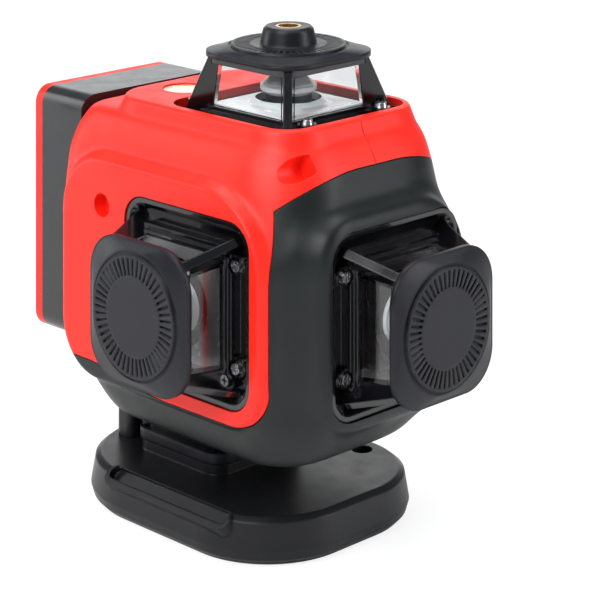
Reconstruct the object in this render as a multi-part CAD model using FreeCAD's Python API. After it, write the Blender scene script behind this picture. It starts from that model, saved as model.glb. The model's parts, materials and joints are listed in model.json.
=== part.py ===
import FreeCAD, Part
import math
import os

# Self-levelling cross-line laser level with four cone windows on a fixed base.
# Millimetres, +Z up. The origin is the mouth of the tripod thread under the base,
# straight below the vertical laser axis. +X is the front window, -Y the left window,
# -X the battery pack.

# ---- base --------------------------------------------------------------------------
BASE_X0, BASE_X1 = -69.0, 30.0
BASE_HALF_WIDTH = 38.5
BASE_REAR_RADIUS = 34.0
BASE_FRONT_RADIUS = 29.0
BASE_THICKNESS = 14.0
BASE_BELLY_Z = 4.5
BASE_BELLY_BULGE = 1.4
COLUMN_X0, COLUMN_X1 = -63.0, -55.5
COLUMN_HALF_WIDTH = 17.0
TRIPOD_RADIUS = 3.175
TRIPOD_DEPTH = 9.0
GROOVE_X0, GROOVE_X1 = -41.0, 12.0
GROOVE_TILT = 40.0

# ---- housing -----------------------------------------------------------------------
WALL = 2.6
CORE_X0, CORE_X1 = -65.0, 41.0
CORE_HALF_WIDTH = 41.5
CORE_BOTTOM = 31.5
CORE_TOP = 112.0
SHOULDER_TOP = 124.5
PLATEAU_TOP = 129.0
PLATEAU_REAR, PLATEAU_FRONT = -51.0, 31.0
SIDE_FACE_Y = 43.4
SIDE_X0, SIDE_X1 = -57.5, 31.5
SIDE_Z0, SIDE_Z1 = 44.0, 111.5
SIDE_FLARE = 4.5
SIDE_RADII_LEFT = (24.0, 17.0, 16.0, 14.0)
SIDE_RADII_RIGHT = (34.0, 17.0, 16.0, 20.0)
FRONT_FACE_X = 46.3
BEZEL_FOOT_HALF = 37.0
BEZEL_FOOT_RADII = (24.0, 30.0, 22.0, 22.0)
BEZEL_HALF = 30.8
BEZEL_RADII = (16.0, 20.0, 13.0, 14.0)
TRIM_SPLIT_X, TRIM_SPLIT_RIGHT_X = 35.0, 24.0
TRIM_SPLIT_Z = 44.2
TRIM_TOP_Z = 116.5
TRIM_EDGE_Z = 100.0
TRIM_EDGE_Y = 41.0
TRIM_CROWN_Y = 13.0
TRIM_CHEEK_Y, TRIM_CHEEK_SHARE = 33.5, 0.66
TRIM_RADIUS = 12.0
SEAM = 0.25
CORNER_SCREW_X, CORNER_SCREW_Z = 32.0, 118.0
CORNER_RECESS_Y = -20.0
SIDE_SCREW_X, SIDE_SCREW_Z = -38.5, 98.0
SIDE_RECESS_Y = -37.0
RECESS_RADIUS = 3.7
RECESS_BOSS = 8.0
VIAL_X, VIAL_Y = -38.5, -8.6
VIAL_RADIUS = 7.3
VIAL_DEPTH = 5.0

# ---- laser windows -----------------------------------------------------------------
TOP_SEAT = 126.8
LEFT_SEAT = 42.9
FRONT_SEAT = 45.8
BOTTOM_SEAT = 34.0
LEFT_AXIS_Z = 76.4
FRONT_AXIS_Z = 73.8
BOTTOM_AXIS_X = -31.0
HEAD_HEIGHT = 21.0
BOTTOM_HEAD_HEIGHT = 16.6
FLANGE_HALF = 27.4
FLANGE_RADIUS = 8.0
FLANGE_DEPTH = 5.6
LIP_WIDTH = 1.3
TOP_DISH = 0.7
SIDE_DISH = 3.2
POCKET_GAP = 0.4
THROAT_HALF = 19.0
STEP_HEIGHT = 2.0
BOTTOM_FLANGE_HALF = 24.0
BOTTOM_THROAT_HALF = 18.0
GLASS_LOW, GLASS_HIGH = 17.9, 16.6
BOTTOM_GLASS_LOW, BOTTOM_GLASS_HIGH = 16.2, 15.6
PANE = 1.2
HEAD_RADIUS = 2.1
FIN_THICKNESS = 2.8
NECK_HALF = 18.9
CAP_STACK = 3.6
CAP_HALF = 21.7
CAP_RADIUS = 12.0
CAP_RIM = 1.6
DISC_RADIUS = 18.0
TOP_SCREW_OFFSET, TOP_SCREW_SEAT = 24.3, 2.4
SIDE_SCREW_OFFSET, SIDE_SCREW_SEAT = 21.4, -1.2
TOP_SCREW_SPACING = 32.4
SCREW_SPACING = 30.0
BOTTOM_CAP_HALF = 20.0
BOTTOM_SCREW_OFFSET, BOTTOM_SCREW_SEAT = 20.9, 0.0
SLOT_COUNT = 48
SLOT_INNER = 12.0
SLOT_WIDTH = 0.8
SLOT_DEPTH = 0.7
BOSS_HEIGHT = 5.4
INSERT_RADIUS = 4.05
INSERT_DEPTH = 8.0
INSERT_BASE_DEPTH = 10.0

# ---- pendulum ----------------------------------------------------------------------
PIVOT_Z = 104.0
BARREL_RADIUS = 7.0
CONE_RADIUS = 7.5
BRAKE_BALL_RADIUS = 46.0
PIN_RADIUS = 1.5
CHASSIS_TOP = 116.0
CHASSIS_PLATE = 3.0
CHASSIS_FIXINGS = [(x, y) for x in (-20.0, 12.0) for y in (-28.5, 28.5)]

# ---- battery pack ------------------------------------------------------------------
PACK_X0, PACK_X1 = -88.8, -65.3
PACK_HALF_WIDTH = 29.5
PACK_BOTTOM, PACK_TOP = 46.0, 125.4
PACK_RADIUS = 5.5
COVER_THICKNESS = 3.4
CELL_RADIUS = 9.1
CELL_LENGTH = 65.0
PLUG_HALF = 14.0
PLUG_Z0, PLUG_Z1 = 60.0, 76.0
LATCH_X0, LATCH_X1 = -79.0, -72.0

# ---- controls on the right-hand side -----------------------------------------------
KEY_RADIUS = 4.6
KEY_GAP = 0.35
KEY_PITCH = 13.0
KEY_COUNT = 4
KEY_ROW_X0 = -38.0
KEY_ROW_Z = 96.0
KNOB_X, KNOB_Z = 3.0, 50.0
KNOB_RADIUS = 9.5
SHAFT_RADIUS = 2.5
CAM_RADIUS = 4.0
CAM_OFFSET = 0.9
PAD_RADIUS = 3.6
RUNNING_GAP = 0.06
BOARD_X = -58.0

V = FreeCAD.Vector
PARTS = {}


# ---- helpers -----------------------------------------------------------------------
def rounded_wire(x0, x1, y0, y1, radii, z):
    """Closed outline of a rectangle in the XY plane; radii start at (x1, y1), anticlockwise."""
    if not isinstance(radii, (list, tuple)):
        radii = [radii] * 4
    corners = [(x1, y1, 0.0), (x0, y1, 90.0), (x0, y0, 180.0), (x1, y0, 270.0)]
    arcs = []
    for (cx, cy, start), r in zip(corners, radii):
        mx = cx - r if cx == x1 else cx + r
        my = cy - r if cy == y1 else cy + r
        points = []
        for turn in (0.0, 45.0, 90.0):
            t = math.radians(start + turn)
            points.append(V(mx + r * math.cos(t), my + r * math.sin(t), z))
        arcs.append(points)
    edges = []
    for i, points in enumerate(arcs):
        edges.append(Part.Arc(*points).toShape())
        after = arcs[(i + 1) % 4][0]
        if (after - points[2]).Length > 1e-6:
            edges.append(Part.makeLine(points[2], after))
    return Part.Wire(edges)


def square_wire(half, radius, z):
    return rounded_wire(-half, half, -half, half, radius, z)


def raised(wire, height):
    return Part.Face(wire).extrude(V(0, 0, height))


def plate(half, radius, z0, z1):
    return raised(square_wire(half, radius, z0), z1 - z0)


def loft(*wires):
    return Part.makeLoft(list(wires), True, True)


def box(x0, x1, y0, y1, z0, z1):
    return Part.makeBox(x1 - x0, y1 - y0, z1 - z0, V(x0, y0, z0))


def rod(radius, start, end):
    axis = end - start
    return Part.makeCylinder(radius, axis.Length, start, axis)


def taper(r0, r1, start, end):
    axis = end - start
    return Part.makeCone(r0, r1, axis.Length, start, axis)


def fuse(shapes):
    return shapes[0].multiFuse(list(shapes[1:])).removeSplitter()


def moved(shape, rotation, offset):
    return shape.transformed(FreeCAD.Placement(offset, rotation).toMatrix(), True)


def turned(shape, axis, degrees, offset):
    return moved(shape, FreeCAD.Rotation(axis, degrees), offset)


def add(name, *solids):
    """Stores one node; a group of separate solids is kept as a compound."""
    flat = []
    for solid in solids:
        flat.extend(solid.Solids)
    PARTS[name] = flat[0] if len(flat) == 1 else Part.makeCompound(flat)


# ---- placement of the four window heads --------------------------------------------
# A head is drawn with its flange's outer face at z = 0 and its cap towards +z.
def at_top(shape):
    return shape.translated(V(0, 0, TOP_SEAT))


def at_left(shape):
    return turned(shape, V(1, 0, 0), 90, V(0, -LEFT_SEAT, LEFT_AXIS_Z))


def at_front(shape):
    spun = turned(shape, V(0, 0, 1), 90, V(0, 0, 0))
    return turned(spun, V(0, 1, 0), 90, V(FRONT_SEAT, 0, FRONT_AXIS_Z))


def at_bottom(shape):
    return turned(shape, V(1, 0, 0), 180, V(BOTTOM_AXIS_X, 0, BOTTOM_SEAT))


# ---- housing -----------------------------------------------------------------------
def housing_section(section, inset):
    """One level of the core: height, rear, front, half width, then the radii of the
    front right, front left and both rear corners."""
    z, x0, x1, half, right, left, rear = section
    radii = [max(radius - inset, 1.5) for radius in (right, rear, rear, left)]
    return rounded_wire(x0 + inset, x1 - inset, inset - half, half - inset, radii, z)


def housing_form(inset):
    """Outer form of the housing, or the hollow inside it when inset is the wall."""
    top, bottom = SHOULDER_TOP - inset, CORE_BOTTOM + inset
    half = CORE_HALF_WIDTH
    sections = [(bottom, CORE_X0 + 9.0, CORE_X1 - 7.0, half - 6.0, 30.0, 15.0, 24.0),
                (39.0, CORE_X0 + 1.0, CORE_X1 - 1.5, half - 2.0, 30.0, 17.0, 29.0),
                (45.0, CORE_X0, CORE_X1, half, 26.0, 15.0, 27.0),
                (52.0, CORE_X0, CORE_X1, half, 20.0, 15.0, 9.0),
                (92.0, CORE_X0, CORE_X1, half, 16.0, 15.0, 9.0),
                (102.0, CORE_X0, CORE_X1 - 0.8, half - 1.0, 26.0, 19.0, 9.0),
                (CORE_TOP, CORE_X0, CORE_X1 - 1.6, half - 2.5, 27.0, 23.0, 9.0),
                (top, CORE_X0 + 3.5, CORE_X1 - 6.5, half - 7.0, 18.0, 18.0, 9.0)]
    wires = [housing_section(section, inset) for section in sections]
    pieces = [loft(low, high) for low, high in zip(wires, wires[1:])]
    front = PLATEAU_FRONT - inset
    pieces.append(loft(
        rounded_wire(PLATEAU_REAR - 3.0 + inset, front + 2.0, -front - 2.0, front + 2.0,
                     16.0, SHOULDER_TOP - 3.0 - inset),
        rounded_wire(PLATEAU_REAR + inset, front, -front, front, 15.0, PLATEAU_TOP - inset)))
    bezel = loft(
        square_wire(BEZEL_FOOT_HALF - inset, [r - inset for r in BEZEL_FOOT_RADII], 0.0),
        square_wire(BEZEL_HALF - inset, [r - inset for r in BEZEL_RADII],
                    FRONT_FACE_X - CORE_X1 + 4.0))
    bezel = turned(bezel, V(0, 1, 0), 90, V(CORE_X1 - 4.0 - inset, 0, FRONT_AXIS_Z))
    left = side_panel(SIDE_X1, SIDE_RADII_LEFT, inset)
    right = side_panel(SIDE_X1 - 3.0, SIDE_RADII_RIGHT, inset).mirror(V(0, 0, 0), V(0, 1, 0))
    return fuse(pieces + [bezel, left, right])


def side_panel(x1, radii, inset):
    """The raised face on the left side, flaring back into the core."""
    def outline(flare, depth):
        grow = flare - inset
        return rounded_wire(SIDE_X0 - grow, x1 + grow, SIDE_Z0 - grow, SIDE_Z1 + grow,
                            [radius + grow for radius in radii], depth)

    panel = loft(outline(SIDE_FLARE, 0.0), outline(0.0, SIDE_FACE_Y - CORE_HALF_WIDTH + 4.0))
    return turned(panel, V(1, 0, 0), 90, V(0, 4.0 + inset - CORE_HALF_WIDTH, 0))


def window_cut(flange_half, throat_half):
    """Stepped opening for one head: a pocket for the flange, then a square throat."""
    pocket = plate(flange_half + POCKET_GAP, FLANGE_RADIUS + POCKET_GAP, -FLANGE_DEPTH, 12.0)
    throat = plate(throat_half, 4.0, -14.0, -FLANGE_DEPTH + 1.0)
    return fuse([pocket, throat])


def trim_profile(split_x, gap, y0, y1):
    """Everything below and ahead of an L profile with a rounded inner corner."""
    x, z, r = split_x - gap, TRIM_SPLIT_Z + gap, TRIM_RADIUS
    lean = math.sqrt(0.5)
    far = 120.0
    lower = V(x - r, 0, z)
    edges = [
        Part.makeLine(V(-far, 0, z), lower),
        Part.Arc(lower, V(x - r + r * lean, 0, z + r - r * lean), V(x, 0, z + r)).toShape(),
        Part.makeLine(V(x, 0, z + r), V(x, 0, far)),
        Part.makeLine(V(x, 0, far), V(far, 0, far)),
        Part.makeLine(V(far, 0, far), V(far, 0, -far)),
        Part.makeLine(V(far, 0, -far), V(-far, 0, -far)),
        Part.makeLine(V(-far, 0, -far), V(-far, 0, z)),
    ]
    return Part.Face(Part.Wire(edges)).extrude(V(0, y1 - y0, 0)).translated(V(0, y0, 0))


def trim_zone(gap=0.0):
    """Where the dark trim shell is: two L profiles, left and right, under a curved brow."""
    far = 120.0
    profile = fuse([trim_profile(TRIM_SPLIT_X, gap, -far, 0.0),
                    trim_profile(TRIM_SPLIT_RIGHT_X, gap, -gap, far)])
    top, edge_z = TRIM_TOP_Z + gap, TRIM_EDGE_Z + gap
    edge, crown, cheek = TRIM_EDGE_Y, TRIM_CROWN_Y, TRIM_CHEEK_Y
    cheek_z = edge_z + TRIM_CHEEK_SHARE * (top - edge_z)
    brow = [
        Part.makeLine(V(-far, -far, -far), V(-far, -far, edge_z)),
        Part.makeLine(V(-far, -far, edge_z), V(-far, -edge, edge_z)),
        Part.Arc(V(-far, -edge, edge_z), V(-far, -cheek, cheek_z),
                 V(-far, -crown, top)).toShape(),
        Part.makeLine(V(-far, -crown, top), V(-far, crown, top)),
        Part.Arc(V(-far, crown, top), V(-far, cheek, cheek_z),
                 V(-far, edge, edge_z)).toShape(),
        Part.makeLine(V(-far, edge, edge_z), V(-far, far, edge_z)),
        Part.makeLine(V(-far, far, edge_z), V(-far, far, -far)),
        Part.makeLine(V(-far, far, -far), V(-far, -far, -far)),
    ]
    under = Part.Face(Part.Wire(brow)).extrude(V(2 * far, 0, 0))
    return profile.common(under)


def recess_places():
    """The two clamshell screws drive in from the left: X, height and floor of each recess."""
    return [(SIDE_SCREW_X, SIDE_SCREW_Z, SIDE_RECESS_Y),
            (CORNER_SCREW_X, CORNER_SCREW_Z, CORNER_RECESS_Y)]


def head_wells():
    """Rims of wall material that hold the four flanges, before they are opened up."""
    well = plate(FLANGE_HALF + 2.6, FLANGE_RADIUS + 2.6, -FLANGE_DEPTH - 2.4, 6.0)
    small = plate(BOTTOM_FLANGE_HALF + 2.6, FLANGE_RADIUS + 2.6, -FLANGE_DEPTH - 2.4, 6.0)
    return [at_top(well), at_left(well), at_front(well), at_bottom(small)]


def build_housing():
    outer = housing_form(0.0)
    shell = outer.cut(housing_form(WALL))
    extras = head_wells()
    vial = V(VIAL_X, VIAL_Y, PLATEAU_TOP)
    extras.append(rod(VIAL_RADIUS + 2.0, vial - V(0, 0, VIAL_DEPTH + 1.6), vial))
    for x, z, floor in recess_places():
        extras.append(rod(RECESS_RADIUS + 2.0, V(x, -60, z), V(x, floor + RECESS_BOSS, z)))
    for x, y in CHASSIS_FIXINGS:
        extras.append(rod(3.4, V(x, y, CHASSIS_TOP), V(x, y, SHOULDER_TOP)))
    shell = shell.fuse([piece.common(outer) for piece in extras])
    cuts = [at_top(window_cut(FLANGE_HALF, THROAT_HALF)),
            at_left(window_cut(FLANGE_HALF, THROAT_HALF)),
            at_front(window_cut(FLANGE_HALF, THROAT_HALF)),
            at_bottom(window_cut(BOTTOM_FLANGE_HALF, BOTTOM_THROAT_HALF))]
    cuts.append(rod(VIAL_RADIUS, vial - V(0, 0, VIAL_DEPTH), vial + V(0, 0, 5)))
    for x, z, floor in recess_places():
        cuts.append(rod(RECESS_RADIUS, V(x, -60, z), V(x, floor, z)))
        cuts.append(rod(1.3, V(x, floor, z), V(x, floor + RECESS_BOSS + 1, z)))
    cuts.extend(rod(1.3, V(x, y, CHASSIS_TOP - 1), V(x, y, CHASSIS_TOP + 5.0))
                for x, y in CHASSIS_FIXINGS)
    for at, spots in ((at_top, screw_spots(TOP_SCREW_OFFSET, TOP_SCREW_SPACING)),
                      (at_left, screw_spots(SIDE_SCREW_OFFSET, SCREW_SPACING)),
                      (at_front, screw_spots(SIDE_SCREW_OFFSET, SCREW_SPACING)),
                      (at_bottom, screw_spots(BOTTOM_SCREW_OFFSET, SCREW_SPACING))):
        cuts.extend(at(rod(1.3, V(x, y, -12), V(x, y, 0))) for x, y in spots)
    cuts.append(box(CORE_X0 - 1, CORE_X0 + WALL + 1, -PLUG_HALF - 0.4, PLUG_HALF + 0.4,
                    PLUG_Z0 - 0.4, PLUG_Z1 + 0.4))
    for x in key_places():
        cuts.append(rod(6.2, V(x, 36, KEY_ROW_Z), V(x, 50, KEY_ROW_Z)))
    cuts.append(rod(SHAFT_RADIUS + RUNNING_GAP, V(KNOB_X, 36, KNOB_Z), V(KNOB_X, 50, KNOB_Z)))
    shell = shell.cut(cuts)
    zone = trim_zone()
    trim = shell.common(zone)
    red = shell.cut(trim_zone(SEAM))
    far = 200.0
    left = red.common(box(-far, far, -far, -SEAM / 2, -far, far))
    right = red.common(box(-far, far, SEAM / 2, far, -far, far))
    add("housing_left", left)
    add("housing_right", right)
    add("front_trim_shell", trim)
    fixing = turned(screw(2.5, 1.5, 1.2, 7.0), V(1, 0, 0), 90, V(0, 0, 0))
    screws = [fixing.translated(V(x, floor, z)) for x, z, floor in recess_places()]
    add("housing_screws", *screws)


def screw_spots(offset, spacing):
    return [(sx * offset, sy * spacing / 2) for sx in (-1, 1) for sy in (-1, 1)]


def key_places():
    return [KEY_ROW_X0 + KEY_PITCH * i for i in range(KEY_COUNT)]


# ---- window heads ------------------------------------------------------------------
def corner_fins(height, dish, foot, glass_low, glass_high):
    """Four upright webs on the diagonals, wide at the flange and slim at the cap."""
    root = math.sqrt(2.0)
    top = height - CAP_STACK
    points = [V(glass_low * root - 2.2, 0, -dish), V(foot * root - 1.6, 0, -dish),
              V(foot * root - 1.6, 0, STEP_HEIGHT - 0.5 * dish), V(NECK_HALF * root - 2.0, 0, top),
              V(glass_high * root - 2.2, 0, top), V(glass_low * root - 2.2, 0, -dish)]
    web = Part.Face(Part.makePolygon(points)).extrude(V(0, FIN_THICKNESS, 0))
    web = web.translated(V(0, -FIN_THICKNESS / 2, 0))
    return [turned(web, V(0, 0, 1), 45 + 90 * i, V(0, 0, 0)) for i in range(4)]


def window_glass(height, glass_low, glass_high):
    """Four slightly leaning flat panes between the fins."""
    low, high = STEP_HEIGHT, height - CAP_STACK - 2.4
    trim_low, trim_high = 2.4, 2.4
    panes = []
    for i in range(4):
        outline = []
        for z, half, margin in ((low, glass_low, trim_low), (high, glass_high, trim_high)):
            width = half - margin
            outline.append(Part.makePolygon([
                V(half, -width, z), V(half, width, z), V(half - PANE, width - PANE, z),
                V(half - PANE, PANE - width, z), V(half, -width, z)]))
        panes.append(turned(loft(*outline), V(0, 0, 1), 90 * i, V(0, 0, 0)))
    return panes


def window_frame(height, flange_half, dish, glass_low, glass_high, screws, seat):
    """Dished flange with a rolled lip, a rail round the glass, four webs and a head band.
    The screws sit in niches on small pads whose top is at `seat`."""
    throat = glass_high - 1.0
    rail_half = glass_low + 2.4
    foot_half = flange_half - LIP_WIDTH - 1.4
    flange = plate(flange_half, FLANGE_RADIUS, -FLANGE_DEPTH, 0.0)
    hollow = loft(square_wire(foot_half - 0.3 * dish, FLANGE_RADIUS - 3.2, -dish),
                  square_wire(flange_half - LIP_WIDTH, FLANGE_RADIUS - LIP_WIDTH, 0.2))
    rail = fuse([plate(rail_half, 2.4, -dish - 0.5, 0.6), plate(rail_half - 1.5, 1.6, 0.0, STEP_HEIGHT)])
    band = plate(glass_high + 1.8, 4.0, height - CAP_STACK - 2.4, height - CAP_STACK)
    body = [flange.cut(hollow), rail, band]
    body.extend(corner_fins(height, dish, foot_half - 1.2, glass_low, glass_high))
    body.extend(rod(HEAD_RADIUS + 0.8, V(x, y, -dish - 0.5), V(x, y, seat)) for x, y in screws)
    frame = fuse(body)
    cuts = [plate(throat, 2.0, -FLANGE_DEPTH - 1, STEP_HEIGHT + 1),
            plate(throat - 1.2, 3.0, height - CAP_STACK - 3.0, height - CAP_STACK + 1)]
    for x, y in screws:
        cuts.append(rod(1.3, V(x, y, -FLANGE_DEPTH - 1), V(x, y, seat + 1)))
        cuts.append(rod(HEAD_RADIUS + 0.4, V(x, y, seat), V(x, y, seat + 4)))
    return frame.cut(cuts)


def window_cap(height, half, radius):
    """Rounded square lid with a raised, radially slotted disc."""
    rim = plate(half, radius, height - CAP_STACK, height - CAP_STACK + CAP_RIM)
    slope = loft(square_wire(half - 0.5, radius - 0.5, height - CAP_STACK + CAP_RIM),
                 square_wire(half - 3.2, half - 3.4, height - 0.5))
    disc = rod(DISC_RADIUS, V(0, 0, height - 1.2), V(0, 0, height))
    ring = rod(DISC_RADIUS + 0.9, V(0, 0, height - 0.9), V(0, 0, height))
    groove = ring.cut(rod(DISC_RADIUS, V(0, 0, height - 2), V(0, 0, height + 1)))
    return fuse([rim, slope, disc]).cut(groove)


def slot_ring(height):
    """Narrow radial slots around the disc."""
    slots = []
    for i in range(SLOT_COUNT):
        slot = box(SLOT_INNER, DISC_RADIUS - 1.0, -SLOT_WIDTH / 2, SLOT_WIDTH / 2,
                   height - SLOT_DEPTH, height + 1)
        slots.append(turned(slot, V(0, 0, 1), 360.0 * i / SLOT_COUNT, V(0, 0, 0)))
    return slots


def screw(head_radius, head_height, shank_radius, shank_length):
    """Pan-head screw with its head's seat at z = 0, and a cross recess."""
    head = taper(head_radius, head_radius * 0.8, V(0, 0, 0), V(0, 0, head_height))
    shank = rod(shank_radius, V(0, 0, -shank_length), V(0, 0, 0))
    arm, depth = head_radius * 0.55, head_height * 0.6
    cross = [box(-arm, arm, -0.3, 0.3, head_height - depth, head_height + 1),
             box(-0.3, 0.3, -arm, arm, head_height - depth, head_height + 1)]
    return head.fuse(shank).cut(cross)


def build_heads():
    panes = window_glass(HEAD_HEIGHT, GLASS_LOW, GLASS_HIGH)
    cap = window_cap(HEAD_HEIGHT, CAP_HALF, CAP_RADIUS).cut(slot_ring(HEAD_HEIGHT))
    boss_top = HEAD_HEIGHT + BOSS_HEIGHT
    boss = fuse([taper(9.2, 7.9, V(0, 0, HEAD_HEIGHT - 1), V(0, 0, boss_top - 0.8)),
                 taper(7.9, 7.1, V(0, 0, boss_top - 0.8), V(0, 0, boss_top))])
    insert_hole = rod(INSERT_RADIUS, V(0, 0, boss_top - INSERT_DEPTH), V(0, 0, boss_top + 1))
    top_cap = cap.fuse(boss).cut(insert_hole)
    insert = rod(INSERT_RADIUS, V(0, 0, boss_top - INSERT_DEPTH), V(0, 0, boss_top))
    insert = insert.cut(rod(TRIPOD_RADIUS, V(0, 0, 0), V(0, 0, boss_top + 1)))
    top_spots = screw_spots(TOP_SCREW_OFFSET, TOP_SCREW_SPACING)
    side_spots = screw_spots(SIDE_SCREW_OFFSET, SCREW_SPACING)
    heads = [("top", at_top, top_cap, TOP_DISH, top_spots, TOP_SCREW_SEAT),
             ("left", at_left, cap, SIDE_DISH, side_spots, SIDE_SCREW_SEAT),
             ("front", at_front, cap, SIDE_DISH, side_spots, SIDE_SCREW_SEAT)]
    fixings = []
    one_screw = screw(HEAD_RADIUS, 1.4, 1.2, 7.0)
    for name, at, lid, dish, screws, seat in heads:
        frame = window_frame(HEAD_HEIGHT, FLANGE_HALF, dish, GLASS_LOW, GLASS_HIGH, screws, seat)
        add(name + "_window_frame", at(frame))
        add(name + "_window_glass", *[at(pane) for pane in panes])
        add(name + "_window_cap", at(lid))
        fixings.extend(at(one_screw.translated(V(x, y, seat))) for x, y in screws)
    add("accessory_thread_insert", at_top(insert))
    low_screws = screw_spots(BOTTOM_SCREW_OFFSET, SCREW_SPACING)
    add("bottom_window_frame",
        at_bottom(window_frame(BOTTOM_HEAD_HEIGHT, BOTTOM_FLANGE_HALF, TOP_DISH,
                               BOTTOM_GLASS_LOW, BOTTOM_GLASS_HIGH, low_screws,
                               BOTTOM_SCREW_SEAT)))
    add("bottom_window_glass",
        *[at_bottom(pane) for pane in window_glass(BOTTOM_HEAD_HEIGHT, BOTTOM_GLASS_LOW,
                                                   BOTTOM_GLASS_HIGH)])
    add("bottom_window_cap", at_bottom(plate(BOTTOM_CAP_HALF, 6.0,
                                             BOTTOM_HEAD_HEIGHT - CAP_STACK, BOTTOM_HEAD_HEIGHT)))
    fixings.extend(at_bottom(one_screw.translated(V(x, y, BOTTOM_SCREW_SEAT)))
                   for x, y in low_screws)
    add("window_screws", *fixings)


# ---- base --------------------------------------------------------------------------
def build_base():
    radii = [BASE_FRONT_RADIUS, BASE_REAR_RADIUS, BASE_REAR_RADIUS, BASE_FRONT_RADIUS]

    def ring(grow, z):
        return rounded_wire(BASE_X0 - grow, BASE_X1 + grow, -BASE_HALF_WIDTH - grow,
                            BASE_HALF_WIDTH + grow, [r + grow for r in radii], z)

    body = fuse([loft(ring(-1.2, 0.0), ring(0.6, 1.8)),
                 loft(ring(0.6, 1.8), ring(BASE_BELLY_BULGE, BASE_BELLY_Z)),
                 loft(ring(BASE_BELLY_BULGE, BASE_BELLY_Z), ring(0.0, BASE_THICKNESS - 1.4)),
                 loft(ring(0.0, BASE_THICKNESS - 1.4), ring(-1.8, BASE_THICKNESS))])
    pedestal = plate(BOTTOM_CAP_HALF - 0.5, 6.0, BASE_THICKNESS - 2.0,
                     BOTTOM_SEAT - BOTTOM_HEAD_HEIGHT)
    body = body.fuse(pedestal.translated(V(BOTTOM_AXIS_X, 0, 0)))
    y0 = -BASE_HALF_WIDTH
    lip = rounded_wire(GROOVE_X0 - 1.2, GROOVE_X1 + 1.2, -3.4, 3.4, 3.3, 0.0)
    groove = rounded_wire(GROOVE_X0, GROOVE_X1, -2.3, 2.3, 2.2, 0.0)
    spot = V(0, y0 + 2.9, BASE_THICKNESS - 4.2)
    lip = turned(raised(lip, 4.0), V(1, 0, 0), GROOVE_TILT, spot)
    groove = turned(raised(groove, 8.0), V(1, 0, 0), GROOVE_TILT, spot + V(0, 0, 1.8))
    body = body.fuse(lip).cut([groove, rod(3.4, V(3, 30.0, 8), V(3, 30.0, 20)),
                               rod(6.0, V(0, 0, -1), V(0, 0, INSERT_BASE_DEPTH))])
    feet = []
    for x in (-50.0, 14.0):
        for y in (-24.0, 24.0):
            feet.append(rod(6.0, V(x, y, 0), V(x, y, 1.8)))
    fixings = []
    for y in (-9.0, 9.0):
        seat = V(0.5 * (COLUMN_X0 + COLUMN_X1), y, 3.2)
        body = body.cut([rod(3.4, seat - V(0, 0, 5), seat), rod(1.7, seat, seat + V(0, 0, 20))])
        fixings.append(turned(screw(3.0, 2.0, 1.6, 16.0), V(1, 0, 0), 180, seat))
    body = body.cut(feet)
    add("base_plate", body)
    add("base_feet", *feet)
    add("base_screws", *fixings)
    add("tripod_thread_insert",
        rod(6.0, V(0, 0, 0), V(0, 0, INSERT_BASE_DEPTH)).cut(
            rod(TRIPOD_RADIUS, V(0, 0, -1), V(0, 0, TRIPOD_DEPTH))))
    column = raised(rounded_wire(COLUMN_X0, COLUMN_X1, -COLUMN_HALF_WIDTH, COLUMN_HALF_WIDTH,
                                 2.4, BASE_THICKNESS), 30.0)
    column = column.cut(housing_form(0.0))
    column = min(column.Solids, key=lambda solid: solid.BoundBox.ZMin)
    column = column.cut([rod(1.7, V(0.5 * (COLUMN_X0 + COLUMN_X1), y, 10),
                             V(0.5 * (COLUMN_X0 + COLUMN_X1), y, 21)) for y in (-9.0, 9.0)])
    add("base_column", column)


# ---- level vial --------------------------------------------------------------------
def build_vial():
    bottom = PLATEAU_TOP - VIAL_DEPTH
    cup = rod(VIAL_RADIUS - 0.1, V(VIAL_X, VIAL_Y, bottom), V(VIAL_X, VIAL_Y, PLATEAU_TOP - 0.4))
    well = rod(VIAL_RADIUS - 1.2, V(VIAL_X, VIAL_Y, bottom + 1.0), V(VIAL_X, VIAL_Y, PLATEAU_TOP + 1))
    add("vial_cup", cup.cut(well))
    add("vial_fluid", rod(VIAL_RADIUS - 1.3, V(VIAL_X, VIAL_Y, bottom + 1.0),
                          V(VIAL_X, VIAL_Y, PLATEAU_TOP - 1.8)))
    add("vial_lens", rod(VIAL_RADIUS - 1.3, V(VIAL_X, VIAL_Y, PLATEAU_TOP - 1.7),
                         V(VIAL_X, VIAL_Y, PLATEAU_TOP - 0.3)))


# ---- pendulum, gimbal and chassis --------------------------------------------------
def build_chassis():
    plate_z = CHASSIS_TOP - CHASSIS_PLATE
    bridge = raised(rounded_wire(-26.0, 29.0, -32.5, 32.5, 8.0, plate_z), CHASSIS_PLATE)
    bridge = bridge.cut(rod(20.0, V(0, 0, plate_z - 1), V(0, 0, CHASSIS_TOP + 1)))
    lugs = [box(-4, 4, side * 25.0 - 2.0, side * 25.0 + 2.0, PIVOT_Z - 5.0, plate_z)
            for side in (-1, 1)]
    chassis = fuse([bridge] + lugs)
    chassis = chassis.cut(rod(PIN_RADIUS + RUNNING_GAP, V(0, -40, PIVOT_Z), V(0, 40, PIVOT_Z)))
    chassis = chassis.cut([rod(1.3, V(x, y, plate_z - 1), V(x, y, CHASSIS_TOP + 1))
                           for x, y in CHASSIS_FIXINGS])
    chassis = chassis.common(housing_form(WALL + 0.3))
    chassis = chassis.cut(rod(RECESS_RADIUS + 2.6, V(CORNER_SCREW_X, -50, CORNER_SCREW_Z),
                              V(CORNER_SCREW_X, CORNER_RECESS_Y + RECESS_BOSS + 1,
                                CORNER_SCREW_Z)))
    add("chassis", chassis)
    fixing = turned(screw(2.5, 1.5, 1.2, 7.0), V(1, 0, 0), 180, V(0, 0, 0))
    add("chassis_screws", *[fixing.translated(V(x, y, plate_z)) for x, y in CHASSIS_FIXINGS])


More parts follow.
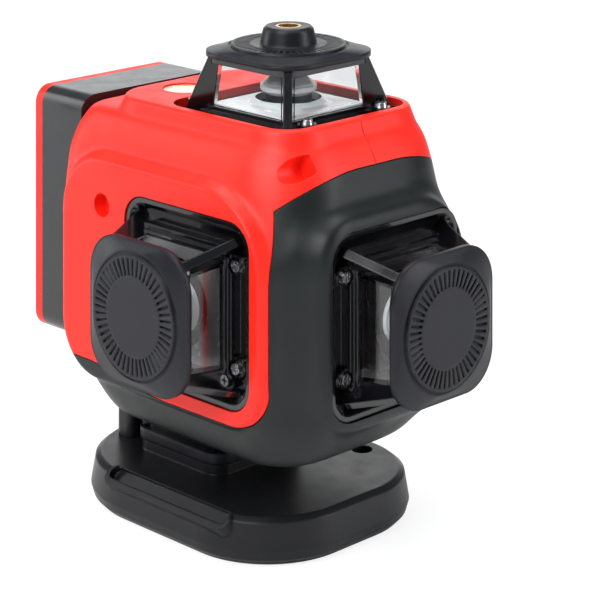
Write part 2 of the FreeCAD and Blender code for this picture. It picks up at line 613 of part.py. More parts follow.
def build_gimbal():
    ring = plate(21.0, 5.0, PIVOT_Z - 3.0, PIVOT_Z + 3.0)
    ring = ring.cut(plate(16.0, 4.0, PIVOT_Z - 4.0, PIVOT_Z + 4.0))
    ring = ring.cut([rod(PIN_RADIUS, V(0, -40, PIVOT_Z), V(0, 40, PIVOT_Z)),
                     rod(PIN_RADIUS, V(-40, 0, PIVOT_Z), V(40, 0, PIVOT_Z))])
    add("gimbal_ring", ring)
    pins = [rod(PIN_RADIUS, V(0, side * 17.0, PIVOT_Z), V(0, side * 26.6, PIVOT_Z))
            for side in (-1, 1)]
    pins += [rod(PIN_RADIUS, V(side * 12.0, 0, PIVOT_Z), V(side * 20.6, 0, PIVOT_Z))
             for side in (-1, 1)]
    add("gimbal_pins", *pins)


def build_pendulum():
    pivot = V(0, 0, PIVOT_Z)
    ball = Part.makeSphere(BRAKE_BALL_RADIUS, pivot)
    block = box(-13, 15, -15, 15, 50.0, 86.0).common(ball)
    stem = rod(9.0, V(0, 0, 85.0), V(0, 0, 97.0))
    collar = fuse([stem, rod(14.0, V(0, 0, PIVOT_Z - 4.0), V(0, 0, PIVOT_Z + 4.0)),
                   taper(9.0, 14.0, V(0, 0, 95.0), V(0, 0, PIVOT_Z - 4.0))])
    collar = collar.cut([box(-20, 20, 9.5, 20, 90, 112), box(-20, 20, -20, -9.5, 90, 112)])
    arm = box(BOTTOM_AXIS_X - 9.0, -12.0, -8.0, 8.0, 62.0, 74.0)
    body = fuse([block, collar, arm])
    body = body.cut([rod(PIN_RADIUS + RUNNING_GAP, V(-40, 0, PIVOT_Z), V(-11.0, 0, PIVOT_Z)),
                     rod(PIN_RADIUS + RUNNING_GAP, V(11.0, 0, PIVOT_Z), V(40, 0, PIVOT_Z))])
    barrels = [(V(0, 0, 84.0), V(0, 0, 132.5)),
               (V(0, -10.0, LEFT_AXIS_Z), V(0, -44.5, LEFT_AXIS_Z)),
               (V(10.0, 0, FRONT_AXIS_Z), V(47.4, 0, FRONT_AXIS_Z)),
               (V(BOTTOM_AXIS_X, 0, 70.0), V(BOTTOM_AXIS_X, 0, 37.5))]
    tubes, holders, cones = [], [], []
    for start, end in barrels:
        way = end - start
        way.normalize()
        body = body.cut(rod(BARREL_RADIUS, start, end))
        tubes.append(rod(BARREL_RADIUS, start, end))
        ring = taper(BARREL_RADIUS, CONE_RADIUS + 1.0, end, end + way * 1.2)
        rim = rod(CONE_RADIUS + 1.0, end + way * 1.2, end + way * 2.6)
        seat = rod(CONE_RADIUS, end + way * 1.4, end + way * 3.0)
        holders.append(fuse([ring, rim]).cut(seat))
        cones.append(fuse([rod(CONE_RADIUS, end + way * 1.4, end + way * 3.4),
                           taper(CONE_RADIUS, 0.6, end + way * 3.4, end + way * 9.6)]))
    add("pendulum_block", body)
    add("laser_modules", *tubes)
    add("cone_holders", *holders)
    add("cone_prisms", *cones)
    fin = fuse([box(15.0, 19.0, -8, 8, 61.5, 65.5), box(17.8, 19.0, -8, 8, 47.0, 65.5)])
    add("damping_fin", fin)
    trims = [rod(2.0, V(-13.0 - 4.0, y, 80.0), V(-13.0, y, 80.0)) for y in (-10.0, 10.0)]
    add("balance_screws", *trims)
    floor = CORE_BOTTOM + WALL
    bracket = fuse([box(10.4, 28.0, -6, 6, floor, floor + 3),
                    box(10.4, 12.0, -6, 6, floor, 55), box(26.4, 28.0, -6, 6, floor, 55)])
    add("magnet_bracket", bracket)
    add("damping_magnets", rod(5.0, V(12.0, 0, 49.5), V(14.0, 0, 49.5)),
        rod(5.0, V(23.4, 0, 49.5), V(26.4, 0, 49.5)))


def build_lock():
    """Transport lock: a knob turns an eccentric that lifts a pad to the pendulum."""
    floor = CORE_BOTTOM + WALL
    centre = V(KNOB_X, 0, KNOB_Z)
    lean = math.sqrt(0.5)
    bracket = fuse([box(KNOB_X - 6, KNOB_X + 6, -9.0, -6.2, floor, 55.0),
                    box(KNOB_X - 6, KNOB_X + 6, 6.2, 9.0, floor, 55.0),
                    box(KNOB_X - 6, KNOB_X + 6, -9.0, 9.0, 55.0, 56.2)])
    bracket = bracket.cut([rod(SHAFT_RADIUS + RUNNING_GAP, centre - V(0, 12, 0),
                               centre + V(0, 12, 0)),
                           rod(PAD_RADIUS + RUNNING_GAP, V(KNOB_X, 0, 54), V(KNOB_X, 0, 58))])
    add("lock_bracket", bracket)
    shaft = rod(SHAFT_RADIUS, V(KNOB_X, -8.6, KNOB_Z), V(KNOB_X, SIDE_FACE_Y + 4.5, KNOB_Z))
    add("lock_shaft", shaft)
    offset = V(CAM_OFFSET * lean, 0, -CAM_OFFSET * lean)
    cam = rod(CAM_RADIUS, centre + offset - V(0, 5, 0), centre + offset + V(0, 5, 0))
    add("lock_cam", cam.cut(shaft))
    pad_bottom = KNOB_Z - CAM_OFFSET * lean + CAM_RADIUS + 0.08
    add("lock_pad", rod(PAD_RADIUS, V(KNOB_X, 0, pad_bottom), V(KNOB_X, 0, 56.5)))
    y0 = SIDE_FACE_Y + 0.4
    knob = fuse([taper(KNOB_RADIUS, KNOB_RADIUS - 0.6, V(KNOB_X, y0, KNOB_Z),
                       V(KNOB_X, y0 + 3.0, KNOB_Z)),
                 box(KNOB_X - 8.4, KNOB_X + 8.4, y0 + 2, y0 + 8.0, KNOB_Z - 2.4, KNOB_Z + 2.4)])
    knob = knob.cut(rod(SHAFT_RADIUS, V(KNOB_X, 30, KNOB_Z), V(KNOB_X, SIDE_FACE_Y + 4.5, KNOB_Z)))
    add("lock_knob", knob)


# ---- keypad and electronics --------------------------------------------------------
def build_keypad():
    x_mid = 0.5 * (key_places()[0] + key_places()[-1])
    half = 28.5
    outline = rounded_wire(-half, half, -9.5, 9.5, 6.0, 0.0)
    panel = turned(raised(outline, 1.2), V(1, 0, 0), -90, V(x_mid, SIDE_FACE_Y, KEY_ROW_Z))
    cuts = [rod(KEY_RADIUS + KEY_GAP, V(x, 40, KEY_ROW_Z), V(x, 50, KEY_ROW_Z))
            for x in key_places()]
    add("keypad_panel", panel.cut(cuts))
    names = ("power_key", "horizontal_key", "vertical_key", "pulse_key")
    for name, x in zip(names, key_places()):
        cap = rod(KEY_RADIUS, V(x, 43.0, KEY_ROW_Z), V(x, SIDE_FACE_Y + 2.0, KEY_ROW_Z))
        flange = rod(5.8, V(x, 42.2, KEY_ROW_Z), V(x, 43.2, KEY_ROW_Z))
        add(name, fuse([cap, flange]))
    add("key_board", box(key_places()[0] - 9, key_places()[-1] + 9, 36.4, 38.0,
                         KEY_ROW_Z - 8, KEY_ROW_Z + 8))
    add("key_switches", *[rod(3.0, V(x, 38.0, KEY_ROW_Z), V(x, 41.3, KEY_ROW_Z))
                          for x in key_places()])


def build_electronics():
    board = box(BOARD_X, BOARD_X + 1.6, -31, 31, 54, 108)
    add("main_board", board)
    chips = [box(BOARD_X + 1.6, BOARD_X + 3.2, y - 5, y + 5, z - 5, z + 5)
             for y, z in ((-16, 92), (6, 92), (-14, 66), (18, 70))]
    add("board_chips", *chips)
    pins = [rod(0.8, V(CORE_X0 + 2.0 + 2.6, y, 0.5 * (PLUG_Z0 + PLUG_Z1)),
                V(BOARD_X, y, 0.5 * (PLUG_Z0 + PLUG_Z1))) for y in (-9.0, -3.0, 3.0, 9.0)]
    add("dock_contacts", *pins)


# ---- battery pack ------------------------------------------------------------------
def build_battery():
    def ring(half, low, high, radius, x):
        wire = rounded_wire(-high, -low, -half, half, radius, 0.0)
        return turned(wire, V(0, 1, 0), 90, V(x, 0, 0))

    def slab(x0, x1, shrink):
        wire = ring(PACK_HALF_WIDTH - shrink, PACK_BOTTOM + shrink, PACK_TOP - shrink,
                    PACK_RADIUS - shrink, x0)
        return Part.Face(wire).extrude(V(x1 - x0, 0, 0))

    split = PACK_X0 + COVER_THICKNESS
    tray = slab(split, PACK_X1, 0.0).cut(slab(split - 1, PACK_X1 - 1.9, 1.9))
    plug = box(PACK_X1 - 0.5, PACK_X1 + 4.6, -PLUG_HALF, PLUG_HALF, PLUG_Z0, PLUG_Z1)
    tray = tray.fuse(plug)
    mid = 0.5 * (PLUG_Z0 + PLUG_Z1)
    blades = [rod(1.2, V(PACK_X1 + 0.5, y, mid), V(PACK_X1 + 4.6, y, mid))
              for y in (-9.0, -3.0, 3.0, 9.0)]
    latch_hole = box(LATCH_X0 - 0.3, LATCH_X1 + 0.3, -8.3, 8.3, PACK_BOTTOM - 1, PACK_BOTTOM + 3)
    port_hole = box(LATCH_X0, LATCH_X1, 13.0, 22.0, PACK_BOTTOM - 1, PACK_BOTTOM + 3)
    tray = tray.cut(blades + [latch_hole, port_hole])
    add("battery_tray", tray)
    cover = slab(PACK_X0, split, 0.0).cut(slab(PACK_X0 + 1.8, split + 1, 1.9))
    add("battery_cover", cover)
    cell_x = PACK_X0 + 1.9 + CELL_RADIUS + 0.3
    add("battery_cells", *[rod(CELL_RADIUS, V(cell_x, y, 55.0), V(cell_x, y, 55.0 + CELL_LENGTH))
                           for y in (-18.35, 0.0, 18.35)])
    rings = []
    for blade in blades:
        box_mid = blade.CenterOfMass
        rings.append(blade.cut(rod(0.9, V(PACK_X1 + 1.0, box_mid.y, mid),
                                   V(PACK_X1 + 6.0, box_mid.y, mid))))
    add("battery_contacts", *rings)
    latch = fuse([box(LATCH_X0, LATCH_X1, -8, 8, PACK_BOTTOM - 1.4, PACK_BOTTOM + 3.0),
                  box(LATCH_X0 - 1.4, LATCH_X1 + 1.4, -9.4, 9.4, PACK_BOTTOM + 2.2,
                      PACK_BOTTOM + 3.6)])
    add("battery_latch", latch)
    add("charge_socket", box(LATCH_X0 + 0.2, LATCH_X1 - 0.2, 13.2, 21.8, PACK_BOTTOM,
                             PACK_BOTTOM + 6.0).cut(
        box(LATCH_X0 + 1.6, LATCH_X1 - 1.6, 14.4, 20.6, PACK_BOTTOM - 1, PACK_BOTTOM + 5.0)))
    flap = fuse([box(LATCH_X0 - 3.0, LATCH_X1 + 1.0, 12.0, 23.0, PACK_BOTTOM - 1.3,
                     PACK_BOTTOM - 0.2)])
    add("charge_flap", flap)


build_housing()
build_heads()
build_base()
build_vial()
build_chassis()
build_gimbal()
build_pendulum()
build_lock()
build_keypad()
build_electronics()
build_battery()

os.makedirs("parts", exist_ok=True)
for name, shape in PARTS.items():
    shape.exportStep("parts/" + name + ".step")
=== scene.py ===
import json
import math

import bmesh
import bpy
from mathutils import Matrix, Vector


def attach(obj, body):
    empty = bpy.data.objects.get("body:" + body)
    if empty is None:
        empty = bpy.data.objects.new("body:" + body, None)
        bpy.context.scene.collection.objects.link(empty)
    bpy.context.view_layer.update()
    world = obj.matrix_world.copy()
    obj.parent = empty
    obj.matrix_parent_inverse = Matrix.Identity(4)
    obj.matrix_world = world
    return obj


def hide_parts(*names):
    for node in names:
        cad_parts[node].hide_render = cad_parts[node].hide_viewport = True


# Looks of a self-levelling cross-line laser level. Metres, +Z up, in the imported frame:
# +X is the front window, -Y the left window, -X the battery pack.

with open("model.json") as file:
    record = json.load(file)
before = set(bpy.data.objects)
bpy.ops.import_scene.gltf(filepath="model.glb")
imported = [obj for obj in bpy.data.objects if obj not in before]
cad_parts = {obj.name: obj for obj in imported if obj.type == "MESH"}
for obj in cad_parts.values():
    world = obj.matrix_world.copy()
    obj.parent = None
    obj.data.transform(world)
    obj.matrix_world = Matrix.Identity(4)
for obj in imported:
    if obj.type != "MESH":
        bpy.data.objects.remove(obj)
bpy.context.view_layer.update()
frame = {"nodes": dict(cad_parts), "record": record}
NODES = frame["nodes"]
MM = 0.001

# ---- dimensions in mm --------------------------------------------------------------
CORE_X0, CORE_X1, CORE_HALF_WIDTH = -65.0, 41.0, 41.5
SHOULDER_TOP, PLATEAU_TOP = 124.5, 129.0
PLATEAU_REAR, PLATEAU_FRONT = -51.0, 31.0
PLATEAU_REAR_FLARE, PLATEAU_FRONT_FLARE = 3.4, 2.6
PLATEAU_ROOT, PLATEAU_EXTRA = 4.0, 0.2      # below the shoulder; added before smoothing
PLATEAU_RADIUS, PLATEAU_FOOT_RADIUS = 15.0, 16.0
SIDE_FACE_Y, SIDE_FLARE = 43.4, 2.2
SIDE_X0, SIDE_X1, SIDE_Z0, SIDE_Z1 = -57.5, 31.5, 44.0, 111.5
RIGHT_SIDE_X1 = SIDE_X1 - 3.0
SIDE_RADII_LEFT = (24.0, 17.0, 16.0, 14.0)
SIDE_RADII_RIGHT = (34.0, 17.0, 16.0, 20.0)
FRONT_FACE_X = 46.3
SEAM = 0.25

# The core's levels: height, then how far the rear end, the front end and the half width are
# from CORE_X0, CORE_X1 and CORE_HALF_WIDTH, then the radii of the front right, front left and
# both rear corners.
CORE_LEVELS = (
    (31.0, 9.0, -7.0, -6.0, 30.0, 15.0, 24.0),
    (35.5, 4.0, -3.4, -3.4, 30.0, 16.0, 27.0),
    (39.0, 1.0, -1.2, -1.8, 30.0, 17.0, 29.0),
    (45.0, 0.0, 0.4, 0.4, 26.0, 15.0, 27.0),
    (52.0, 0.0, 0.4, 0.4, 20.0, 15.0, 9.0),
    (92.0, 0.0, 0.4, 0.4, 16.0, 15.0, 9.0),
    (102.0, 0.0, -0.4, -0.6, 26.0, 19.0, 9.0),
    (112.0, 0.0, -1.2, -2.2, 27.0, 23.0, 9.0),
    (119.0, 1.4, -4.4, -4.8, 22.0, 21.0, 9.0),
    (125.0, 4.0, -8.2, -8.6, 18.0, 18.0, 9.0))
# The hollow's levels: height, rear x, front x, half width, corner radius.
HOLLOW_LEVELS = (
    (41.0, -56.0, 30.0, 31.0, 18.0),
    (50.0, -62.0, 36.5, 35.0, 12.0),
    (98.0, -62.0, 36.5, 35.0, 12.0),
    (110.0, -61.0, 31.0, 32.0, 16.0),
    (121.0, -56.0, 24.0, 27.0, 12.0))
# The front bezel's levels: distance ahead of its foot, half size, corner radius.
BEZEL_BACK = 4.0
BEZEL_LEVELS = ((0.0, 38.0, 25.0), (3.5, 34.4, 20.0), (6.5, 32.2, 17.0),
                (FRONT_FACE_X - CORE_X1 + BEZEL_BACK + 0.3, 31.2, 15.0))

CORE_VOXEL, CORE_PASSES = 1.0, 46
SKIN_VOXEL, SKIN_PASSES = 0.8, 5
SHARP_EDGE = 32.0

# The dark trim lies below and ahead of an L profile, and under a brow at its top. The tail
# pairs are x and the rise of the profile there.
TRIM_SPLIT_X, TRIM_SPLIT_RIGHT_X, TRIM_SPLIT_Z = 33.2, 24.0, 44.2
TRIM_RADIUS = 12.0
TRIM_TAIL = ((-44.0, 4.4), (-34.0, 3.6), (-20.0, 0.8), (-10.0, 0.0))
TRIM_TAIL_END = 4.6
TRIM_LEAN, TRIM_LEAN_Z, TRIM_LEAN_HEIGHT = 4.5, 90.0, 24.0
BROW_CROWN_Y, BROW_EDGE_Y = 8.0, 41.0
BROW_TOP, BROW_FOOT = 116.5, 98.0
TRIM_ROUNDING = 9.0
FAR = 120.0                                  # how far the trim's outlines run past it
ZONE_HALF_WIDTH, BROW_HALF_LENGTH = 110.0, 115.0
ZONE_OVERLAP = 0.01
BEYOND = 200.0

VIAL_X, VIAL_Y, VIAL_RADIUS, VIAL_DEPTH = -38.5, -8.6, 7.3, 5.0
RECESS_RADIUS = 3.7
RECESSES = ((-38.5, 98.0, -39.0), (32.0, 118.8, -23.0))     # x, z and the y of the floor
KEY_X0, KEY_PITCH, KEY_COUNT, KEY_Z, KEY_HOLE_RADIUS = -38.0, 13.0, 4, 96.0, 6.2
KNOB_X, KNOB_Z, SHAFT_HOLE_RADIUS = 3.0, 50.0, 2.56
RIGHT_BORE_Y0, RIGHT_BORE_Y1, LEFT_BORE_Y = 34.0, 50.0, -60.0
PLUG_HALF, PLUG_Z0, PLUG_Z1, PLUG_OUT, PLUG_IN = 14.4, 59.6, 76.4, 3.0, 6.0

TOP_SEAT, LEFT_SEAT, FRONT_SEAT, BOTTOM_SEAT = 126.8, 42.9, 45.8, 34.0
LEFT_AXIS_Z, FRONT_AXIS_Z, BOTTOM_AXIS_X = 76.4, 73.8, -31.0
FLANGE_HALF, BOTTOM_FLANGE_HALF, FLANGE_DEPTH = 27.4, 24.0, 5.6
POCKET_GAP, POCKET_RADIUS, POCKET_HEIGHT = 0.4, 8.4, 14.0
THROAT_HALF, BOTTOM_THROAT_HALF, THROAT_RADIUS = 19.0, 18.0, 4.0
THROAT_DEPTH, THROAT_LAP = 16.0, 1.0
STEP_HEIGHT, GLASS_TOP = 2.0, 15.0
GLASS_LOW, GLASS_HIGH, PANE = 17.9, 16.6, 1.2
PANE_MARGIN = 2.4
PLATE_HALF = 16.5
PLATE_HOLES = {"top": (10.0, 10.0), "left": (11.2, 12.8), "front": (11.2, 12.8)}
# Sections of a plate's inner edge: height above its underside, reach beyond the hole.
RAISED = ((0.5, 3.2), (1.1, 1.6), (2.0, 0.8), (2.3, 0.5), (2.3, 0.0), (0.0, 0.0))
FLAT = ((0.5, 0.3), (0.3, 0.0), (0.0, 0.0))
PLATE_EDGES = {"top": RAISED, "left": FLAT, "front": FLAT}
PLATE_THICKNESS = 0.5
ROUND_STEPS, TUBE_STEPS = 48, 40


# ---- node helpers ------------------------------------------------------------------
class Shader:
    """A material under construction, with short calls for the nodes it is wired from."""

    def __init__(self, name):
        self.material = bpy.data.materials.new(name)
        self.material.use_nodes = True
        self.nodes = self.material.node_tree.nodes
        self.links = self.material.node_tree.links
        self.surface = self.nodes["Principled BSDF"]
        self.place = self.nodes.new("ShaderNodeTexCoord").outputs["Object"]

    def set(self, **values):
        """Sets inputs of the surface, named with underscores for spaces."""
        for name, value in values.items():
            self.surface.inputs[name.replace("_", " ")].default_value = value

    def wire(self, source, target):
        self.links.new(source, target)

    def noise(self, size, detail=4.0, roughness=0.55, stretch=(1.0, 1.0, 1.0)):
        """Noise whose main blotches are about `size` metres across."""
        mapping = self.nodes.new("ShaderNodeMapping")
        mapping.inputs["Scale"].default_value = stretch
        self.wire(self.place, mapping.inputs["Vector"])
        node = self.nodes.new("ShaderNodeTexNoise")
        node.inputs["Scale"].default_value = 1.0 / size
        node.inputs["Detail"].default_value = detail
        node.inputs["Roughness"].default_value = roughness
        self.wire(mapping.outputs["Vector"], node.inputs["Vector"])
        return node.outputs["Fac"]

    def ramp(self, source, low, high, value_low, value_high):
        """Maps source from low..high to value_low..value_high, clamped."""
        node = self.nodes.new("ShaderNodeMapRange")
        node.inputs["From Min"].default_value = low
        node.inputs["From Max"].default_value = high
        node.inputs["To Min"].default_value = value_low
        node.inputs["To Max"].default_value = value_high
        self.wire(source, node.inputs["Value"])
        return node.outputs["Result"]

    def mix(self, factor, first, second):
        """Colour between first and second; each is a colour or another node's output."""
        node = self.nodes.new("ShaderNodeMix")
        node.data_type = "RGBA"
        self.wire(factor, node.inputs[0])
        for value, socket in ((first, node.inputs[6]), (second, node.inputs[7])):
            if isinstance(value, tuple):
                socket.default_value = (*value, 1.0)
            else:
                self.wire(value, socket)
        return node.outputs[2]

    def edges(self, radius):
        """How much a point lies on a rounded edge: 0 on flats, towards 1 on sharp edges."""
        bevel = self.nodes.new("ShaderNodeBevel")
        bevel.samples = 4
        bevel.inputs["Radius"].default_value = radius
        geometry = self.nodes.new("ShaderNodeNewGeometry")
        dot = self.nodes.new("ShaderNodeVectorMath")
        dot.operation = "DOT_PRODUCT"
        self.wire(bevel.outputs["Normal"], dot.inputs[0])
        self.wire(geometry.outputs["Normal"], dot.inputs[1])
        return self.ramp(dot.outputs["Value"], 0.995, 0.8, 0.0, 1.0)

    def bump(self, layers, round_edge=0.0):
        """Stacks bumps given as (height source, depth in metres) over a rounded-edge normal."""
        normal = None
        if round_edge:
            bevel = self.nodes.new("ShaderNodeBevel")
            bevel.samples = 4
            bevel.inputs["Radius"].default_value = round_edge
            normal = bevel.outputs["Normal"]
        for source, depth in layers:
            node = self.nodes.new("ShaderNodeBump")
            node.inputs["Strength"].default_value = 1.0
            node.inputs["Distance"].default_value = depth
            self.wire(source, node.inputs["Height"])
            if normal is not None:
                self.wire(normal, node.inputs["Normal"])
            normal = node.outputs["Normal"]
        self.wire(normal, self.surface.inputs["Normal"])

    def swap_surface(self, share, other):
        """Shows another shader in place of the surface, by the given share."""
        either = self.nodes.new("ShaderNodeMixShader")
        self.wire(share, either.inputs[0])
        self.wire(self.surface.outputs["BSDF"], either.inputs[1])
        self.wire(other, either.inputs[2])
        self.wire(either.outputs["Shader"], self.nodes["Material Output"].inputs["Surface"])

    def colour(self, source):
        self.wire(source, self.surface.inputs["Base Color"])

    def roughness(self, source):
        self.wire(source, self.surface.inputs["Roughness"])


# ---- materials ---------------------------------------------------------------------
def moulded(name, light, dark, rough, grain_size, grain_depth, worn_and_highlight, edge=0.35 * MM, gloss=0.5):
    """Injection-moulded plastic: slight colour drift, fine spark grain, paler rubbed edges, which on
    the cap are partly a painted highlight.
    """
    shader = Shader(name)
    drift = shader.ramp(shader.noise(28 * MM, 3.0), 0.3, 0.7, 0.0, 1.0)
    base = shader.mix(drift, dark, light)
    # Paler colour on the edges: rubbed wear, and on the cap also a painted highlight.
    rubbed_and_lit_edge = shader.edges(0.5 * MM)
    patchy = shader.ramp(shader.noise(4 * MM, 5.0), 0.45, 0.7, 0.0, 0.55)
    both = shader.nodes.new("ShaderNodeMath")
    both.operation = "MULTIPLY"
    shader.wire(rubbed_and_lit_edge, both.inputs[0])
    shader.wire(patchy, both.inputs[1])
    shader.colour(shader.mix(both.outputs["Value"], base, worn_and_highlight))
    shader.roughness(shader.ramp(shader.noise(7 * MM, 6.0), 0.3, 0.7, rough - 0.05, rough + 0.07))
    grain = shader.noise(grain_size, 2.0, 0.6)
    waves = shader.noise(14 * MM, 2.0)
    shader.bump([(waves, 0.05 * MM), (grain, grain_depth)], edge)
    shader.set(Specular_IOR_Level=gloss, IOR=1.5)
    return shader.material


def polished(name, light, dark, rough, edge=0.3 * MM):
    """Glossy moulded plastic with hairline scratches and a little handling haze."""
    shader = Shader(name)
    drift = shader.ramp(shader.noise(20 * MM, 3.0), 0.3, 0.7, 0.0, 1.0)
    shader.colour(shader.mix(drift, dark, light))
    shader.roughness(shader.ramp(shader.noise(9 * MM, 6.0), 0.35, 0.75, rough, rough + 0.14))
    hairs = shader.noise(0.5 * MM, 2.0, 0.5, (1.0, 14.0, 1.0))
    shader.bump([(hairs, 0.0004 * MM)], edge)
    shader.set(IOR=1.5, Coat_Weight=0.35, Coat_Roughness=0.05)
    return shader.material


def metal(name, light, dark, rough, mark_size=0.4 * MM):
    """Bare or plated metal with machining marks and a tarnish that gathers in patches."""
    shader = Shader(name)
    tarnish = shader.ramp(shader.noise(3.5 * MM, 6.0), 0.35, 0.7, 0.0, 1.0)
    shader.colour(shader.mix(tarnish, light, dark))
    shader.roughness(shader.ramp(shader.noise(2.5 * MM, 5.0), 0.3, 0.7, rough, rough + 0.16))
    marks = shader.noise(mark_size, 3.0, 0.6)
    shader.bump([(marks, 0.02 * MM)], 0.15 * MM)
    shader.set(Metallic=1.0)
    return shader.material


def rubber(name, light, dark):
    """Matt rubber with dust in its grain."""
    shader = Shader(name)
    dust = shader.ramp(shader.noise(5 * MM, 6.0), 0.4, 0.75, 0.0, 0.8)
    shader.colour(shader.mix(dust, dark, light))
    shader.roughness(shader.ramp(shader.noise(2 * MM, 4.0), 0.3, 0.7, 0.62, 0.82))
    shader.bump([(shader.noise(0.35 * MM, 3.0), 0.03 * MM)], 0.3 * MM)
    shader.set(IOR=1.45, Sheen_Weight=0.15)
    return shader.material


def clear(name, tint):
    """Clear glass or acrylic with faint smears; it lets shadow rays through."""
    shader = Shader(name)
    smear = shader.noise(8 * MM, 5.0)
    shader.colour(shader.mix(shader.ramp(smear, 0.3, 0.7, 0.0, 0.25), (1.0, 1.0, 1.0), tint))
    shader.roughness(shader.ramp(smear, 0.4, 0.75, 0.02, 0.07))
    shader.bump([(shader.noise(16 * MM, 2.0), 0.02 * MM)])
    shader.set(Transmission_Weight=1.0, IOR=1.45)
    rays = shader.nodes.new("ShaderNodeLightPath")
    through = shader.nodes.new("ShaderNodeBsdfTransparent")
    through.inputs["Color"].default_value = (0.88, 0.90, 0.90, 1.0)
    shader.swap_surface(rays.outputs["Is Shadow Ray"], through.outputs["BSDF"])
    return shader.material


def painted_light_plate(name, light, dark, metal_share):
    """Brushed plate at the foot of a glass box; its colours are painted light and shade for its
    window.
    """
    shader = Shader(name)
    haze = shader.noise(5 * MM, 5.0)
    shader.colour(shader.mix(haze, light, dark))
    shader.roughness(shader.ramp(haze, 0.3, 0.7, 0.16, 0.30))
    shader.bump([(shader.noise(0.5 * MM, 3.0, 0.6, (1.0, 8.0, 1.0)), 0.0008 * MM)])
    shader.set(Metallic=metal_share)
    return shader.material


def screw_steel(name):
    """Nickel-plated screws; the ones low under the body are coppered."""
    shader = Shader(name)
    split = shader.nodes.new("ShaderNodeSeparateXYZ")
    shader.wire(shader.place, split.inputs["Vector"])
    low = shader.ramp(split.outputs["Z"], 0.040, 0.041, 1.0, 0.0)
    tarnish = shader.ramp(shader.noise(1.2 * MM, 5.0), 0.35, 0.7, 0.0, 1.0)
    plated = shader.mix(tarnish, (0.66, 0.65, 0.66), (0.34, 0.33, 0.34))
    coppered = shader.mix(tarnish, (0.95, 0.50, 0.34), (0.60, 0.28, 0.18))
    shader.colour(shader.mix(low, plated, coppered))
    shader.roughness(shader.ramp(shader.noise(1.0 * MM, 4.0), 0.3, 0.7, 0.16, 0.30))
    shader.bump([(shader.noise(0.3 * MM, 3.0), 0.01 * MM)], 0.15 * MM)
    shader.set(Metallic=1.0)
    return shader.material


def milky(name):
    """Translucent optical plastic that holds the cones."""
    shader = Shader(name)
    cloud = shader.noise(3 * MM, 4.0)
    shader.colour(shader.mix(cloud, (0.86, 0.88, 0.90), (0.74, 0.77, 0.80)))
    shader.roughness(shader.ramp(cloud, 0.3, 0.7, 0.10, 0.24))
    shader.bump([(shader.noise(0.9 * MM, 2.0), 0.01 * MM)], 0.2 * MM)
    shader.set(Transmission_Weight=0.35, IOR=1.45)
    return shader.material


def prism_glass(name):
    """Glass of the cones, slightly hazed so that it shows white."""
    shader = Shader(name)
    haze = shader.noise(1.5 * MM, 4.0)
    shader.colour(shader.mix(haze, (0.96, 0.97, 0.98), (0.88, 0.90, 0.92)))
    shader.roughness(shader.ramp(haze, 0.3, 0.7, 0.01, 0.08))
    shader.bump([(shader.noise(0.8 * MM, 2.0), 0.004 * MM)], 0.15 * MM)
    shader.set(Transmission_Weight=0.55, IOR=1.25)
    return shader.material


def fluid(name):
    """Yellow-green spirit of the bubble level."""
    shader = Shader(name)
    swirl = shader.noise(6 * MM, 2.0)
    shader.colour(shader.mix(swirl, (0.83, 0.92, 0.30), (0.93, 0.95, 0.55)))
    shader.roughness(shader.ramp(swirl, 0.3, 0.7, 0.02, 0.10))
    shader.bump([(swirl, 0.01 * MM)])
    shader.set(Transmission_Weight=0.45, IOR=1.4)
    return shader.material


def circuit_board(name):
    """Green solder mask with faint copper tracks under it."""
    shader = Shader(name)
    wave = shader.nodes.new("ShaderNodeTexWave")
    wave.inputs["Scale"].default_value = 260.0
    wave.inputs["Distortion"].default_value = 6.0
    shader.wire(shader.place, wave.inputs["Vector"])
    track = shader.ramp(wave.outputs["Fac"], 0.55, 0.65, 0.0, 1.0)
    shader.colour(shader.mix(track, (0.006, 0.09, 0.035), (0.02, 0.20, 0.07)))
    shader.roughness(shader.ramp(shader.noise(3 * MM), 0.3, 0.7, 0.25, 0.42))
    shader.bump([(track, 0.03 * MM)])
    return shader.material


def cell_wrap(name):
    """Shrink-wrapped blue sleeve of a battery cell."""
    shader = Shader(name)
    sheen = shader.noise(6 * MM, 4.0)
    shader.colour(shader.mix(sheen, (0.02, 0.10, 0.38), (0.04, 0.19, 0.55)))
    shader.roughness(shader.ramp(sheen, 0.3, 0.7, 0.2, 0.38))
    shader.bump([(shader.noise(2.5 * MM, 3.0, 0.5, (1.0, 1.0, 0.25)), 0.08 * MM)])
    return shader.material


